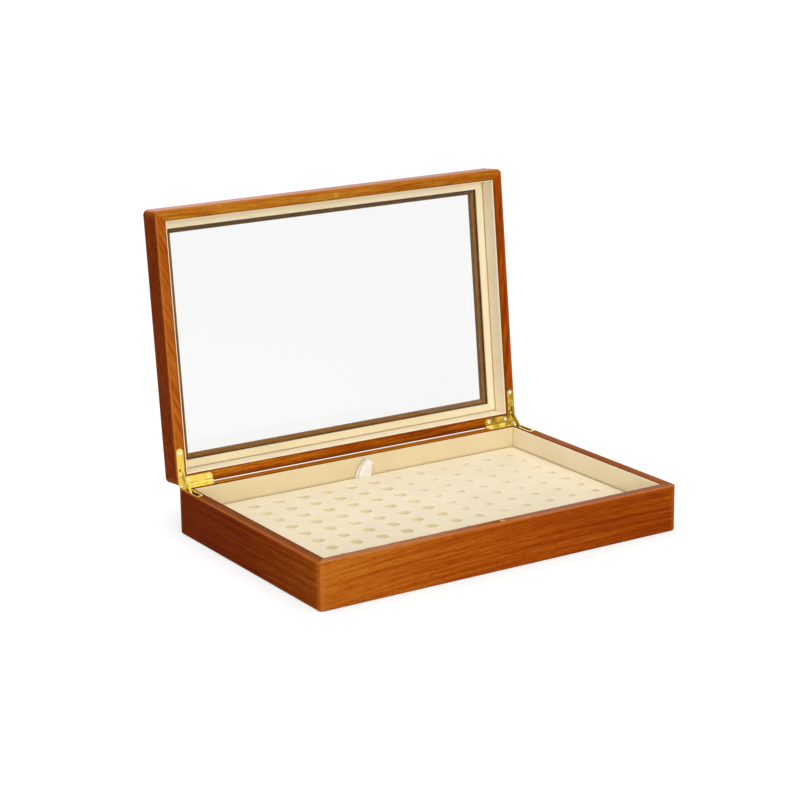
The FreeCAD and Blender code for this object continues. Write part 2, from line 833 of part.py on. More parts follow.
def stay_arms():
    """A flat stay with round ends, modelled along -Y from its rivet and tilted down to the base leaf."""
    left = new_body("left_stay_arm")
    half = cell("stay_width") / 2
    side = -half_width + stay_outside
    profile = new_sketch(left, "stay_profile", "YZ_Plane", level=side)
    add_outline(profile, rectangle(-stay_length, 0, -half, half))
    pad(left, profile, cell("stay_thickness"))
    for end, along in (("top", 0), ("foot", -stay_length)):
        turned(left, "AdditiveCylinder", f"stay_{end}", {"Radius": half, "Height": cell("stay_thickness")},
               (side, along, 0))
    turned(left, "SubtractiveCylinder", "stay_rivet_hole",
           {"Radius": rivet_hole, "Height": cell("stay_thickness") + OVERRUN * 2},
           (side - OVERRUN, 0, 0))
    left.Placement = Placement(Vector(), Rotation(Vector(1, 0, 0), 1))
    bind(left, {
        "Placement.Base.y": half_depth - stay_pin_forward,
        "Placement.Base.z": axis_height + stay_pin_height,
        "Placement.Rotation.Angle": cell("stay_slope"),
    })
    both_sides(left, "stay_arm")


def stay_rivets():
    left = new_body("left_stay_rivet")
    centre = (-cell("stay_reach"), pin_low)
    head = {"Radius": cell("rivet_head_radius"), "Height": cell("rivet_head")}
    outer = -half_width + cell("ear_inset")
    inner = -half_width + stay_inside + cell("stay_side_gap")
    shank = {"Radius": cell("rivet_radius"), "Height": inner - outer}
    turned(left, "AdditiveCylinder", "rivet_shank", shank, (outer, *centre))
    turned(left, "AdditiveCylinder", "rivet_outer_head", head, (outer - cell("rivet_head"), *centre))
    turned(left, "AdditiveCylinder", "rivet_inner_head", head, (inner, *centre))
    both_sides(open_lid(left), "stay_rivet")


def leaf_screws(part, place, face, face_up):
    """Countersunk slotted screws, one group for each leaf."""
    direction = DOWNWARD if face_up else UPWARD
    sign = -1 if face_up else 1
    screws = []
    for index, (across, forward) in enumerate(LEAF_SCREWS[part]):
        name = f"{part}_screw_{index}"
        body = new_body(name)
        spot = (-half_width + across, -forward)
        turned(body, "AdditiveCone", f"{name}_head",
               {"Radius1": cell("screw_head_radius"), "Radius2": cell("screw_radius"),
                "Height": cell("screw_head_depth")}, (*spot, face), *direction)
        shank = cell("screw_length") - cell("screw_head_depth") - cell("screw_radius") * 2
        turned(body, "AdditiveCylinder", f"{name}_shank", {"Radius": cell("screw_radius"), "Height": shank},
               (*spot, face + cell("screw_head_depth") * sign), *direction)
        turned(body, "AdditiveCone", f"{name}_point",
               {"Radius1": cell("screw_radius"), "Radius2": cell("screw_radius") / 4,
                "Height": cell("screw_radius") * 2},
               (*spot, face + (cell("screw_head_depth") + shank) * sign), *direction)
        slot = new_sketch(body, f"{name}_slot", level=face)
        half = cell("screw_slot_width") / 2
        reach = cell("screw_head_radius") + OVERRUN
        sides = (spot[0] - reach, spot[0] + reach, spot[1] - half, spot[1] + half)
        add_outline(slot, rectangle(*sides))
        pocket(body, slot, cell("screw_slot_depth"), upward=not face_up)
        screws.append(place(body))
    group = doc.addObject("Part::Compound", f"left_hinge_{part}_screws")
    group.Links = screws
    both_sides(group, f"hinge_{part}_screws")


base_boards()
flat_sheet("base_bottom_panel", cell("bottom_rebate"), 0, cell("bottom_thickness"))
flat_sheet("base_floor_lining", 0, cell("bottom_thickness"), cell("floor_lining"))
base_linings()
catch_piece("base_catch_magnet", -inner_half_depth, rim - cell("magnet_height"), cell("magnet_height"))
insert_pad()
insert_backing()
ribbon_pull()
lid_walls()
lid_rails()
lid_glass()
glass_retainers()
lid_linings()
open_lid(catch_piece("lid_strike_plate", lid_middle - inner_half_depth, lid_rim, cell("strike_thickness")))
base_leaves()
lid_leaves()
hinge_pins()
stay_arms()
stay_rivets()
leaf_screws("base", at_axis, -lid_rim, face_up=True)
leaf_screws("lid", open_lid, lid_rim, face_up=False)

doc.recompute()
failed = [item.Label for item in doc.Objects if {"Invalid", "Error"} & set(item.State)]
broken = [item.Label for item in subparts if item.Shape.isNull() or not item.Shape.isValid()]
if failed or broken:
    raise RuntimeError(f"failed: {failed} broken: {broken}")
os.makedirs("parts", exist_ok=True)
for item in subparts:
    item.Shape.exportStep(os.path.join("parts", f"{item.Label}.step"))
print(f"{len(subparts)} sub-parts written")
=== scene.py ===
import math

import bmesh
import bpy
from mathutils import Matrix, Vector, noise


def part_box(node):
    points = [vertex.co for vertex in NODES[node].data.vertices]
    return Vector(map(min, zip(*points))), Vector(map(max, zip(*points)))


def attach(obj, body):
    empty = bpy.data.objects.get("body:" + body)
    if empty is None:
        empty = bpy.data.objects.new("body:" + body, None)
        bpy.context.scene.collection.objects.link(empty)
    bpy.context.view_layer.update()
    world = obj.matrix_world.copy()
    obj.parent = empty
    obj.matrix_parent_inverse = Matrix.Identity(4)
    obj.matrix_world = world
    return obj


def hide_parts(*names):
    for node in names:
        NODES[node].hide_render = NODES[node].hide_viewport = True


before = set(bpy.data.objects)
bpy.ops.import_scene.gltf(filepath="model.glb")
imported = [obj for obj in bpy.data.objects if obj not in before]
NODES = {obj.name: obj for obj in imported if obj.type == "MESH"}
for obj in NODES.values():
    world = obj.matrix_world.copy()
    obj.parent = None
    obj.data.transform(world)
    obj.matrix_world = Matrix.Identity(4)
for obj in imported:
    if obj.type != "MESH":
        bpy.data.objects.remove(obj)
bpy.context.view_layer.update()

MM = 0.001
SIDES = ("front", "right", "back", "left")

# Sizes shared with the solids, in millimetres and degrees
OPEN_ANGLE = 95.6
HOLE_PITCH = (24.1, 21.46)
HOLE_SHIFT = 1
HOLE_COUNT = (13, 9)
LARGE_COLUMNS = 7
LARGE_HOLE = 10
SMALL_HOLE = 7

# Ways in the box, then those of the open lid: to its fore edge, to its hinged edge and out of its underside
RIGHTWARD = (1, 0, 0)
LEFTWARD = (-1, 0, 0)
BACKWARD = (0, 1, 0)
UPWARD = (0, 0, 1)
LEAN = math.radians(OPEN_ANGLE - 90)
LID_FORE = (0, math.sin(LEAN), math.cos(LEAN))
LID_BACK = (0, -math.sin(LEAN), -math.cos(LEAN))
LID_UNDER = (0, -math.cos(LEAN), math.sin(LEAN))

# Grain directions: turns that lay a board's length along X
ALONG_X = (0, 0, 0)
ALONG_Y = (0, 0, -math.pi / 2)
ALONG_LID = (-math.radians(180 - OPEN_ANGLE), 0, -math.pi / 2)

# Places that the shading of edges and grooves is measured from, in metres. Each pair is half a width and
# half a depth
HALF_DEPTH = 0.1173
BOX_OUTSIDE = (0.175, HALF_DEPTH)
BOARD_INSIDE = (0.1658, 0.1081)
LINING_FACE = (0.1645, 0.1068)
STRIP_INSIDE = (0.1572, 0.0995)
BASE_RIM = (0, 0, 0.0404)
HINGE_HEIGHT = 0.0406
LID_MIDDLE = (0, HALF_DEPTH * (1 + LID_FORE[1]), HINGE_HEIGHT + HALF_DEPTH * LID_FORE[2])
PAD_TOP = 0.0219
SMALL_HOLES = (0.010, 0.016)
JOINT_PLACE = (-0.046, 0, 0)
FINGER_WIDTH = 0.0016
FINGER_SLOPE = 1.6
BOW_MIDDLE = (0.116, 0, 0)

# What sets single boards apart: the tone of their stain and how it changes per metre along a way, colour
# factors that paint light and shade onto their rims, and how their grain slants and bows
BOARDS = {
    "base_front_board": {"tone": -0.03, "fade": (-0.9, 0, 0), "rim": (0.82, 0.98, 1.2), "bow": 0.125},
    "base_right_board": {"rim": (0.64, 0.7, 1)},
    "base_back_board": {"tone": -0.06, "fade": (-0.2, 0, 0), "rim": (1.2, 2.1, 2.2)},
    "base_left_board": {"tone": -0.08, "fade": (0, -0.5, 0), "rim": (0.6, 0.72, 1)},
    "lid_front_wall": {"tone": 0.06, "fade": (-0.25, 0, 0), "rim": (1.02, 1.45, 1.55)},
    "lid_right_wall": {"tone": -0.16, "slant": math.radians(9)},
    "lid_back_wall": {"tone": -0.16, "fade": (-0.5, 0, 0), "rim": (1.15, 1.7, 1.8)},
    "lid_left_wall": {"tone": -0.02, "rim": (0.99, 1.14, 1.7), "slant": math.radians(-24)},
}

# Grain: strength of the figure, then how often it changes along a board and how much it wanders
LID_GRAIN = (1.0, 20, 0.6)
BASE_GRAIN = (0.85, 7, 0.3)
MIDDLE_TINT = 0.6

# Stain from its deepest to its palest, and the colours laid over it
STAIN = ((0.0, (0.11, 0.009, 0.0003)), (0.3, (0.262, 0.034, 0.001)),
         (0.55, (0.42, 0.08, 0.0036)), (1.0, (0.68, 0.225, 0.022)))
PORE = (0.09, 0.014, 0.001, 1)
LIT_EDGE = (0.6, 0.18, 0.03, 1)
BROWN = (0.2, 0.088, 0.021, 1)
# Browns of the window reveals; the front one is deeper because it carries painted shade
BROWNS = {"front": (0.085, 0.04, 0.008, 1), "right": BROWN, "back": BROWN, "left": (0.14, 0.055, 0.004, 1)}
REVEALS = {"front": LID_BACK, "right": LEFTWARD, "back": LID_FORE, "left": RIGHTWARD}

# Factors on the stain: painted shade in shaded places, and the darker glue line of the finger joint
EDGE_SHADE = (0.4, 0.32, 0.25, 1)
STRIP_SHADE = (0.3, 0.2, 0.1, 1)
JOINT_DARKENING = (0.55, 0.45, 0.4, 1)
LEFT_SHADE = (0.6, 0.42, 0.25, 1)
HINGE_SHADE = (0.2, 0.14, 0.1, 1)

# Lacquer: its reflection on most faces, on dull ones, and its tint
GLOSS = 0.03
DULL_GLOSS = 0.004
LACQUER_TINT = (1.0, 0.62, 0.38, 1)

# Beige coverings
LEATHER = ((0.785, 0.66, 0.425), (0.835, 0.715, 0.48))
LEATHER_GRAIN = (0.66, 0.52, 0.3, 1)
LEATHER_SHADE = (0.6, 0.52, 0.4, 1)
# Painted light on the strips: paler on the sides that are to look more lit, a little deeper on the others
STRIP_PAINTED_LIGHT = {"front": 0.13, "right": 0.08, "back": -0.03, "left": -0.03}
SUEDE = ((0.885, 0.77, 0.55), (0.935, 0.82, 0.6))
SUEDE_NAP = (0.7, 0.57, 0.36, 1)
# Painted shade inside the large holes and painted light inside the small ones
LARGE_HOLE_SHADE = (0.97, 1.0, 0.92, 1)
SMALL_HOLE_LIGHT = (1.04, 1.06, 1.1, 1)

# Cosines between which a face comes to count as pointing a way
FACING = (0.55, 0.8)

# Light: lamps by name, azimuth, height, strength and spread, then the floor's and the sky's levels
LAMPS = (("key", -16, 12, 1.55, 24), ("top", 0, 84, 1.22, 60), ("fill", -70, 20, 0.25, 60),
         ("back", 165, 28, 0.5, 50))
FLOOR_SIZE = 60
PAPER = ((0.445, 0.445, 0.445), (0.455, 0.455, 0.455))
PAPER_BOUNCE = (0.3, 0.3, 0.3, 1)
FLOOR_GLOW = 0.62
SKY_LIGHT = 0.53

# Camera that the photo was taken with
SENSOR = 36
LENS = 103.699
CAMERA_PLACE = (-1.01221545, -1.55702946, 0.62717324)
CAMERA_FORWARD = (0.51603913, 0.81443927, -0.26531549)
CAMERA_UP = (0.15298288, 0.21713125, 0.96408001)
CAMERA_REACH = 100


class Look:
    """A material built from nodes around one Principled shader."""

    def __init__(self, name, **settings):
        self.material = bpy.data.materials.new(name)
        self.material.use_nodes = True
        self.tree = self.material.node_tree
        self.tree.nodes.clear()
        self.shader = self.add("BsdfPrincipled")
        self.output = self.add("OutputMaterial", Surface=self.shader.outputs[0])
        self.set(self.shader, settings)

    def add(self, kind, attributes=None, **inputs):
        node = self.tree.nodes.new(f"ShaderNode{kind}")
        for key, value in (attributes or {}).items():
            setattr(node, key, value)
        self.set(node, inputs)
        return node

    def set(self, node, inputs):
        """Sets or links sockets by name, or by number where the name is an underscore and a number."""
        for key, value in inputs.items():
            socket = node.inputs[int(key[1:]) if key[0] == "_" else key.replace("_", " ")]
            if isinstance(value, bpy.types.NodeSocket):
                self.tree.links.new(value, socket)
            else:
                socket.default_value = value

    def place(self, scale=(1, 1, 1), turn=(0, 0, 0), shift=(0, 0, 0)):
        """Coordinates of the piece in metres, turned, shifted and scaled."""
        spot = self.add("TexCoord").outputs["Object"]
        turned = self.add("Mapping", Vector=spot, Rotation=turn, Location=shift).outputs[0]
        return self.scaled(turned, scale)

    def scaled(self, spot, scale):
        return self.add("Mapping", Vector=spot, Scale=scale).outputs[0]

    def noise(self, spot, scale=1.0, detail=2.0, roughness=0.5, distortion=0.0):
        return self.add("TexNoise", Vector=spot, Scale=scale, Detail=detail, Roughness=roughness,
                        Distortion=distortion).outputs["Fac"]

    def math(self, operation, first, second=0.0):
        return self.add("Math", {"operation": operation}, _0=first, _1=second).outputs[0]

    def plus(self, first, second):
        return self.math("ADD", first, second)

    def less(self, first, second):
        return self.math("SUBTRACT", first, second)

    def times(self, first, second):
        return self.math("MULTIPLY", first, second)

    def larger(self, first, second):
        return self.math("MAXIMUM", first, second)

    def smaller(self, first, second):
        return self.math("MINIMUM", first, second)

    def vector(self, operation, first, second, output="Vector"):
        return self.add("VectorMath", {"operation": operation}, _0=first, _1=second).outputs[output]

    def mix(self, share, first, second, blend="MIX"):
        settings = {"data_type": "RGBA", "blend_type": blend}
        return self.add("Mix", settings, _0=share, _6=first, _7=second).outputs[2]

    def shade(self, share, colour, factors):
        return self.mix(share, colour, factors, "MULTIPLY")

    def ramp(self, value, *stops):
        node = self.add("ValToRGB", _0=value)
        elements = node.color_ramp.elements
        while len(elements) < len(stops):
            elements.new(0.5)
        for element, (at, colour) in zip(elements, stops):
            element.position = at
            element.color = (*colour, 1)
        return node.outputs[0]

    def span(self, value, low, high, to_low=0.0, to_high=1.0):
        """The value's way from low to high, laid out from to_low to to_high and held there."""
        return self.add("MapRange", _0=value, _1=low, _2=high, _3=to_low, _4=to_high).outputs[0]

    def facing(self, ways):
        """One on faces that point one of the ways, else nought."""
        normal = self.add("TexCoord").outputs["Normal"]
        share = 0.0
        for way in ways:
            cosine = self.vector("DOT_PRODUCT", normal, way, "Value")
            share = self.larger(self.span(cosine, *FACING), share)
        return share

    def along(self, way, start=(0, 0, 0)):
        """Distance of the spot from the start along the way, in metres."""
        spot = self.add("TexCoord").outputs["Object"]
        return self.vector("DOT_PRODUCT", self.vector("SUBTRACT", spot, start), way, "Value")

    def beyond(self, sides, on_lid):
        """How far the spot lies beyond two pairs of sides, across and deep, in metres."""
        deep = self.along(LID_FORE, LID_MIDDLE) if on_lid else self.along(BACKWARD)
        ways = (self.along(RIGHTWARD), deep)
        return [self.less(self.math("ABSOLUTE", way), side) for way, side in zip(ways, sides)]

    def finish(self, colour, rough, height, depth, strength):
        """Gives the shader its colour, roughness and relief, and returns the material."""
        relief = self.add("Bump", Height=height, Distance=depth, Strength=strength).outputs[0]
        self.set(self.shader, {"Base Color": colour, "Roughness": rough, "Normal": relief})
        return self.material


# Shares of painted shade and light on the wood and the coverings, and of a glue line, with their places in
# metres


def inner_edge(look, on_lid):
    """Dark line along the inner edges of the boards' rims, where the linings meet them."""
    return look.span(look.larger(*look.beyond(BOARD_INSIDE, on_lid)), 0.0004, 0.0015, 0.55, 0.0)


def outer_edge(look, on_lid):
    """Painted highlight: a paler line along the outer edges of the boards' rims, and along the rounded
    corners.
    """
    across, deep = look.beyond(BOX_OUTSIDE, on_lid)
    rise = look.along(LID_UNDER, LID_MIDDLE) if on_lid else look.along(UPWARD, BASE_RIM)
    near_rim = look.span(rise, -0.0018, -0.0006)
    line = look.times(look.span(look.larger(across, deep), -0.0026, -0.0012), near_rim)
    corner = look.span(look.smaller(across, deep), -0.0068, -0.004, 0.0, 0.6)
    return look.times(look.larger(line, corner), 0.45)


def hinge_shade(look):
    """Shade on the lid's rim where it runs down to the hinge line."""
    low = look.span(look.along(LID_BACK, LID_MIDDLE), HALF_DEPTH - 0.005, HALF_DEPTH - 0.0008, 0.0, 0.85)
    return look.times(low, look.facing((LID_UNDER,)))


def strip_shade(look):
    """Dark line on the ledge of the window frame, beside the strips that hold the pane."""
    return look.span(look.larger(*look.beyond(STRIP_INSIDE, True)), -0.0014, -0.0006, 0.0, 0.8)


def finger_joint(look):
    """Zigzag glue line where two lengths of wood meet end to end, with the deeper length to its right."""
    teeth = look.math("PINGPONG", look.along(LID_FORE, LID_MIDDLE), FINGER_WIDTH)
    past = look.plus(look.along(RIGHTWARD, JOINT_PLACE), look.times(teeth, FINGER_SLOPE))
    line = look.span(look.math("ABSOLUTE", past), 0.0003, 0.0007, 0.7, 0.0)
    return look.larger(line, look.span(past, -0.0001, 0.0001, 0.0, 0.14))


def groove_round_retainers(look):
    """Dark line where the retaining strips meet the linings of the lid."""
    return look.span(look.larger(*look.beyond(LINING_FACE, True)), -0.0013, -0.0006)


def foot_of_linings(look):
    """Dark line where the linings of the base meet the pad and one another."""
    foot = look.span(look.along(UPWARD), PAD_TOP + 0.0003, PAD_TOP + 0.0009, 0.4, 0.0)
    corner = look.span(look.smaller(*look.beyond(LINING_FACE, False)), -0.001, -0.0004, 0.0, 0.5)
    return look.larger(foot, corner)


# Materials


def grain_coordinates(look, turn, seed, slant, bow):
    """Coordinates with X along the grain, in a place of its own for each seed."""
    shift = (seed * 0.37, 0.071 + seed * 0.013, 0.093 - seed * 0.017)
    spot = look.place(turn=turn, shift=shift)
    board = look.add("Mapping", Vector=spot, Rotation=(0, 0, slant)).outputs[0]
    if not bow:
        return board
    length = look.along(RIGHTWARD, BOW_MIDDLE)
    rise = look.times(look.times(length, length), bow)
    return look.vector("ADD", board, look.add("CombineXYZ", Z=rise).outputs[0])


def wood(name, side, seed, tone=0.0, fade=None, rim=None, slant=0.0, bow=0.0):
    """Stained, lacquered wood, its grain along the piece, brown round the pane, painted shade on its left
    faces.
    """
    on_lid = name.startswith("lid")
    on_rail = name.endswith("rail")
    figure, run, wander = LID_GRAIN if on_lid else BASE_GRAIN
    cross_turn = ALONG_LID if on_lid else ALONG_Y
    look = Look(f"wood_{name}", Specular_IOR_Level=GLOSS, Specular_Tint=LACQUER_TINT)
    board = grain_coordinates(look, ALONG_X if side in ("front", "back") else cross_turn, seed, slant, bow)

    def grain(long, short, **settings):
        return look.noise(look.scaled(board, (long, short, short)), **settings)

    wide = grain(4, 30, detail=3, roughness=0.55, distortion=0.4)
    lines = grain(run, 430, detail=4, roughness=0.6, distortion=wander)
    fibre = grain(70, 1900, detail=3, roughness=0.65)
    tint = MIDDLE_TINT + tone
    for layer, strength in ((wide, 0.5 * figure), (lines, figure), (fibre, 0.7)):
        tint = look.plus(tint, look.times(look.less(layer, 0.5), strength))
    if fade:
        tint = look.plus(tint, look.along(fade))
    colour = look.ramp(tint, *STAIN)
    # Painted light and shade: colour factors that make the rim faces paler or deeper than the board
    if rim:
        colour = look.shade(look.facing((LID_UNDER if on_lid else UPWARD,)), colour, (*rim, 1))
    pores = look.span(grain(190, 3300, detail=1), 0.58, 0.7, 0.0, 0.6)
    colour = look.mix(pores, colour, PORE)
    if name == "lid_front_wall":
        colour = look.shade(finger_joint(look), colour, JOINT_DARKENING)
    dull_ways = []
    if on_rail:
        window = (REVEALS[side], LID_UNDER)
        # The reveals round the pane take a brown, deepened on the front one as painted shade; a painted
        # shadow line runs on the ledge
        reveal_faces = look.facing(window)
        colour = look.mix(reveal_faces, colour, BROWNS[side])
        colour = look.shade(look.times(reveal_faces, strip_shade(look)), colour, STRIP_SHADE)
        dull_ways += window
    # Painted shade on faces that point left, lighter at the front and full from the middle back
    if side == "left":
        left_shade_share = look.span(look.along(BACKWARD), -HALF_DEPTH, 0.0, 0.35, 1.0)
        colour = look.shade(look.times(look.facing((LEFTWARD,)), left_shade_share), colour, LEFT_SHADE)
        dull_ways.append(LEFTWARD)
    if not on_rail:
        colour = look.shade(inner_edge(look, on_lid), colour, EDGE_SHADE)
        # Painted highlight along the outer edges and rounded corners
        colour = look.mix(outer_edge(look, on_lid), colour, LIT_EDGE)
    if name == "lid_back_wall":
        colour = look.shade(hinge_shade(look), colour, HINGE_SHADE)
    if not on_lid and side != "front":
        dull_ways.append(UPWARD)
    if dull_ways:
        gloss = look.span(look.facing(dull_ways), 0.0, 1.0, GLOSS, DULL_GLOSS)
        look.set(look.shader, {"Specular IOR Level": gloss})
    rough = look.plus(look.times(fibre, 0.12), 0.16)
    height = look.less(look.times(fibre, 0.5), look.times(pores, 1.2))
    return look.finish(colour, rough, height, 0.00005, 0.4)


def leatherette(name, pale=0.0, shade=None):
    """Smooth beige covering with a fine pebbled grain, deeper in the grooves that the shade marks."""
    look = Look(name, Specular_IOR_Level=0.2, Sheen_Weight=0.08, Sheen_Roughness=0.5)
    spot = look.place()
    pebbles = look.add("TexVoronoi", {"feature": "SMOOTH_F1"}, Vector=spot, Scale=1500, Smoothness=0.6)
    fine = look.noise(spot, 2600, 2)
    low, high = ([part + pale for part in colour] for colour in LEATHER)
    colour = look.ramp(look.noise(spot, 28, 3), (0.3, low), (0.7, high))
    colour = look.mix(look.span(fine, 0.35, 0.75, 0.0, 0.14), colour, LEATHER_GRAIN)
    if shade:
        colour = look.shade(shade(look), colour, LEATHER_SHADE)
    height = look.plus(look.times(pebbles.outputs["Distance"], 0.8), look.times(fine, 0.3))
    rough = look.plus(look.times(fine, 0.2), 0.45)
    return look.finish(colour, rough, height, 0.00005, 0.5)


def suede(name):
    """Short matt nap, faint brushed patches, painted shade in the large holes and painted light in the
    small.
    """
    look = Look(name, Specular_IOR_Level=0.15, Sheen_Weight=0.25, Sheen_Roughness=0.6,
                Sheen_Tint=(1.0, 0.93, 0.8, 1))
    nap = look.noise(look.place(), 2100, 3, 0.7)
    brushed = look.noise(look.place((26, 60, 40), (0, 0, 0.5)), 1, 3, 0.6, 0.6)
    colour = look.ramp(brushed, (0.32, SUEDE[0]), (0.68, SUEDE[1]))
    colour = look.mix(look.span(nap, 0.35, 0.75, 0.0, 0.2), colour, SUEDE_NAP)
    # Inside the holes: painted shade in the large ones, painted light in the small ones
    inside = look.span(look.along(UPWARD), PAD_TOP - 0.0012, PAD_TOP - 0.0005, 1.0, 0.0)
    small = look.span(look.along(RIGHTWARD), *SMALL_HOLES)
    colour = look.shade(look.times(inside, look.less(1.0, small)), colour, LARGE_HOLE_SHADE)
    colour = look.shade(look.times(inside, small), colour, SMALL_HOLE_LIGHT)
    rough = look.plus(look.times(nap, 0.12), 0.82)
    return look.finish(colour, rough, nap, 0.00012, 0.6)


def brass(name, low, high, rough, metal=0.35):
    """Brass plate, soft from polishing, with faint rolling marks and patches."""
    look = Look(name, Metallic=metal)
    patches = look.noise(look.place(), 160, 3)
    marks = look.noise(look.place((260, 4200, 4200)), 1, 2)
    colour = look.ramp(patches, (0.3, low), (0.7, high))
    return look.finish(colour, look.plus(look.times(marks, 0.14), rough), marks, 0.00002, 0.35)


def satin(name):
    """White ribbon with a fine weave across its length."""
    look = Look(name, Specular_IOR_Level=0.5, Sheen_Weight=0.4, Sheen_Roughness=0.35, Anisotropic=0.5)
    spot = look.place()
    weave = look.add("TexWave", {"bands_direction": "Z"}, Vector=spot, Scale=420, Distortion=0.6, Detail=1,
                     Detail_Scale=2.0).outputs["Fac"]
    colour = look.ramp(look.noise(spot, 120, 2), (0.3, (0.8, 0.76, 0.69)), (0.7, (0.9, 0.87, 0.82)))
    return look.finish(colour, look.plus(look.times(weave, 0.15), 0.32), weave, 0.00003, 0.5)


def clear_glass(name):
    """Clear float glass, a little grey, which lets the lamps through."""
    look = Look(name, Transmission_Weight=1.0, Roughness=0.0, IOR=1.25, Base_Color=(0.866, 0.866, 0.865, 1))
    shadow = look.add("LightPath").outputs["Is Shadow Ray"]
    open_way = look.add("BsdfTransparent", Color=(0.93, 0.95, 0.94, 1)).outputs[0]
    both = look.add("MixShader", _0=shadow, _1=look.shader.outputs[0], _2=open_way).outputs[0]
    look.set(look.output, {"Surface": both})
    return look.material


def plain_board(name):
    """Pale pressed board with short fibres."""
    look = Look(name, Specular_IOR_Level=0.25)
    chips = look.noise(look.place((60, 900, 900)), 1, 4, 0.7)
    colour = look.ramp(chips, (0.3, (0.3, 0.185, 0.09)), (0.7, (0.47, 0.31, 0.17)))
    return look.finish(colour, look.plus(look.times(chips, 0.2), 0.6), chips, 0.00008, 0.5)


# Dressing of the solids


def dress(material, *names):
    for name in names:
        slots = NODES[name].data.materials
        slots.clear()
        slots.append(material)


def dress_wood():
    """Gives each board its own length of wood, and the hidden boards a plain one."""
    seed = 0
    for pattern in ("base_{}_board", "lid_{}_wall", "lid_{}_rail"):
        for side in SIDES:
            name = pattern.format(side)
            seed += 1
            dress(wood(name, side, seed, **BOARDS.get(name, {})), name)
    dress(plain_board("pressed_board"), "base_bottom_panel", "insert_backing_board")


def dress_linings():
    """Gives the linings and strips their leatherette, in paler and darker copies that paint light and
    shade.
    """
    base = leatherette("beige_leatherette", pale=-0.085, shade=foot_of_linings)
    base_right = leatherette("beige_leatherette_painted_light", pale=0.1, shade=foot_of_linings)
    lid = leatherette("beige_leatherette_lid_painted_light", pale=0.13)
    for side in SIDES:
        dress(base_right if side == "right" else base, f"base_{side}_lining")
        dress(lid, f"lid_{side}_lining")
        strip = leatherette(f"beige_leatherette_{side}_strip", STRIP_PAINTED_LIGHT[side], groove_round_retainers)
        dress(strip, f"glass_{side}_retainer")
    dress(leatherette("beige_leatherette_floor"), "base_floor_lining")


def dress_metal():
    """Gives the hinges, stays, screws and catch their brass."""
    polished = brass("polished_brass", (0.9, 0.66, 0.09), (0.97, 0.77, 0.16), 0.22)
    shaded = brass("shaded_brass", (0.24, 0.15, 0.008), (0.78, 0.53, 0.06), 0.18, 0.75)
    pale = brass("pale_brass", (0.93, 0.72, 0.13), (0.98, 0.83, 0.22), 0.14, 0.7)
    screw = brass("screw_brass", (0.96, 0.88, 0.55), (1.0, 0.94, 0.7), 0.16)
    catch = brass("catch_brass", (0.5, 0.22, 0.006), (0.64, 0.31, 0.012), 0.3)
    for side, upper in (("left", polished), ("right", shaded)):
        dress(upper, f"{side}_hinge_lid_leaf", f"{side}_hinge_pin")
        dress(shaded, f"{side}_stay_arm")
        dress(pale, f"{side}_hinge_base_leaf")
        dress(screw, f"{side}_stay_rivet", f"{side}_hinge_base_screws", f"{side}_hinge_lid_screws")
    dress(catch, "base_catch_magnet", "lid_strike_plate")


def add_piece(mesh, name, material, body, slot, *nodes):
    """Makes a piece from a mesh in millimetres, which rides on a body and replaces nodes."""
    for vertex in mesh.verts:
        vertex.co *= MM
    data = bpy.data.meshes.new(name)
    mesh.to_mesh(data)
    mesh.free()
    data.materials.append(material)
    for polygon in data.polygons:
        polygon.use_smooth = True
    piece = bpy.data.objects.new(name, data)
    bpy.context.scene.collection.objects.link(piece)
    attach(piece, body)
    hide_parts(*nodes)
    return piece


# Insert pad: a soft slab with a grid of round holes whose rims are rolled in. Sizes in millimetres

CELL_STEPS = 8
HOLE_ROLL = 0.6
HOLE_COLLAR = 0.8
HOLE_DEPTH = 6.5
HOLE_TAPER = ((0.98, 0.55), (0.95, 0.85), (0.82, 1), (0.4, 1.02))
PAD_ROUND = 1.5
PAD_COLLAR = 2.5
PAD_SINK = 0.22
PAD_WAVES = ((0.16, 0.035, 1.7), (0.07, 0.13, 5))
DENT_HALF_WIDTH = 11
DENT_REACH = 4
DENT_DEPTH = 1.25
QUARTER = [math.radians(angle) for angle in range(0, 91, 18)]


def cell_border(across, deep):
    """Points round a cell's edge, counterclockwise from its right middle, CELL_STEPS to a side."""
    half = CELL_STEPS // 2
    ticks = [step / half - 1 for step in range(CELL_STEPS)]
    points = [(1, t) for t in ticks] + [(-t, 1) for t in ticks]
    points += [(-x, -y) for x, y in points]
    return [(x * across / 2, y * deep / 2) for x, y in points[half:] + points[:half]]


def rounded_edge(radius):
    """Insets from the wall and depths below the top of the loops that go over a rounded edge."""
    return [(radius * (1 - math.sin(turn)), radius * (1 - math.cos(turn))) for turn in QUARTER]


def hole_profile(radius):
    """Radius and depth of the loops that go over the rolled rim, down the wall and across the bottom."""
    loops = [(radius + HOLE_ROLL + HOLE_COLLAR, 0.0)]
    loops += [(radius + inset, depth) for inset, depth in rounded_edge(HOLE_ROLL)]
    return loops + [(radius * share, HOLE_DEPTH * depth) for share, depth in HOLE_TAPER]


def join_loops(mesh, loops):
    for outer, inner in zip(loops, loops[1:]):
        count = len(outer)
        for index in range(count):
            following = (index + 1) % count
            mesh.faces.new((outer[index], outer[following], inner[following], inner[index]))


def add_hole(mesh, border, middle, top, radius):
    """Adds one cell of the grid: its flat border and the hole in its middle."""
    middle_x, middle_y = middle
    loops = [[mesh.verts.new((middle_x + x, middle_y + y, top)) for x, y in border]]
    angles = [math.atan2(y, x) for x, y in border]
    for reach, depth in hole_profile(radius):
        spots = [(middle_x + reach * math.cos(a), middle_y + reach * math.sin(a)) for a in angles]
        loops.append([mesh.verts.new((x, y, top - depth)) for x, y in spots])
    join_loops(mesh, loops)
    mesh.faces.new(loops[-1])


